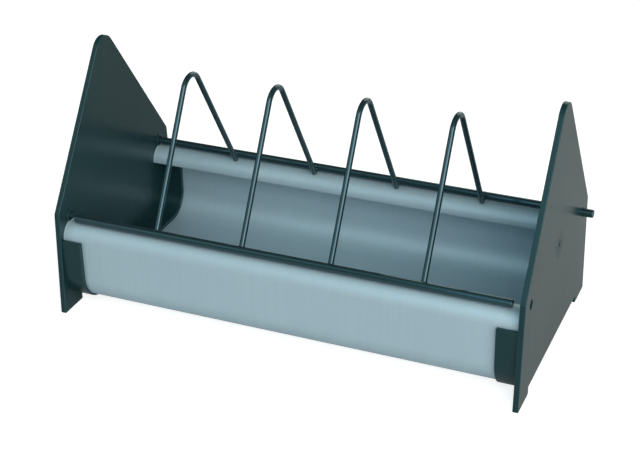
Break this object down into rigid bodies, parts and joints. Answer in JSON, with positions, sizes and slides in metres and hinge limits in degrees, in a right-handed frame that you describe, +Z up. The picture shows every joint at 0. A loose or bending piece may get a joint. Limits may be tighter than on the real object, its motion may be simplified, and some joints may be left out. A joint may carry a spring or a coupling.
{
  "type": "pigeon feeder",
  "caption": "Low feeding trough between two peaked end plates, under a lift-up wire grid that keeps birds out of the feed.",
  "frame": {"origin": "centre of the feeder on the surface that its feet stand on", "axes": "+X along the trough to the right end plate, -Y to the front, +Z up"},
  "size_m": [0.3136, 0.15, 0.1605],
  "materials": {
    "aluminium_sheet": "satin mill finish sheet",
    "end_plate_plastic": "moulded, dark slate green, dull sheen",
    "grid_coating": "dark slate green powder coat on round steel wire"
  },
  "bodies": {
    "base": {"trough": "aluminium_sheet", "left_end_plate": "end_plate_plastic", "right_end_plate": "end_plate_plastic"},
    "pivot": {"pivot_rod": "grid_coating"},
    "grid": {"front_rod": "grid_coating", "hairpin_1": "grid_coating", "hairpin_2": "grid_coating", "hairpin_3": "grid_coating", "hairpin_4": "grid_coating"}
  },
  "joints": [
    {"name": "grid_slide", "type": "slide", "parent": "base", "child": "pivot", "axis": [1, 0, 0], "range_m": [-0.005, 0.005]},
    {"name": "grid_hinge", "type": "hinge", "parent": "pivot", "child": "grid", "pos_m": [0, 0.0585, 0.063], "axis": [-1, 0, 0], "range_deg": [0, 160]}
  ]
}
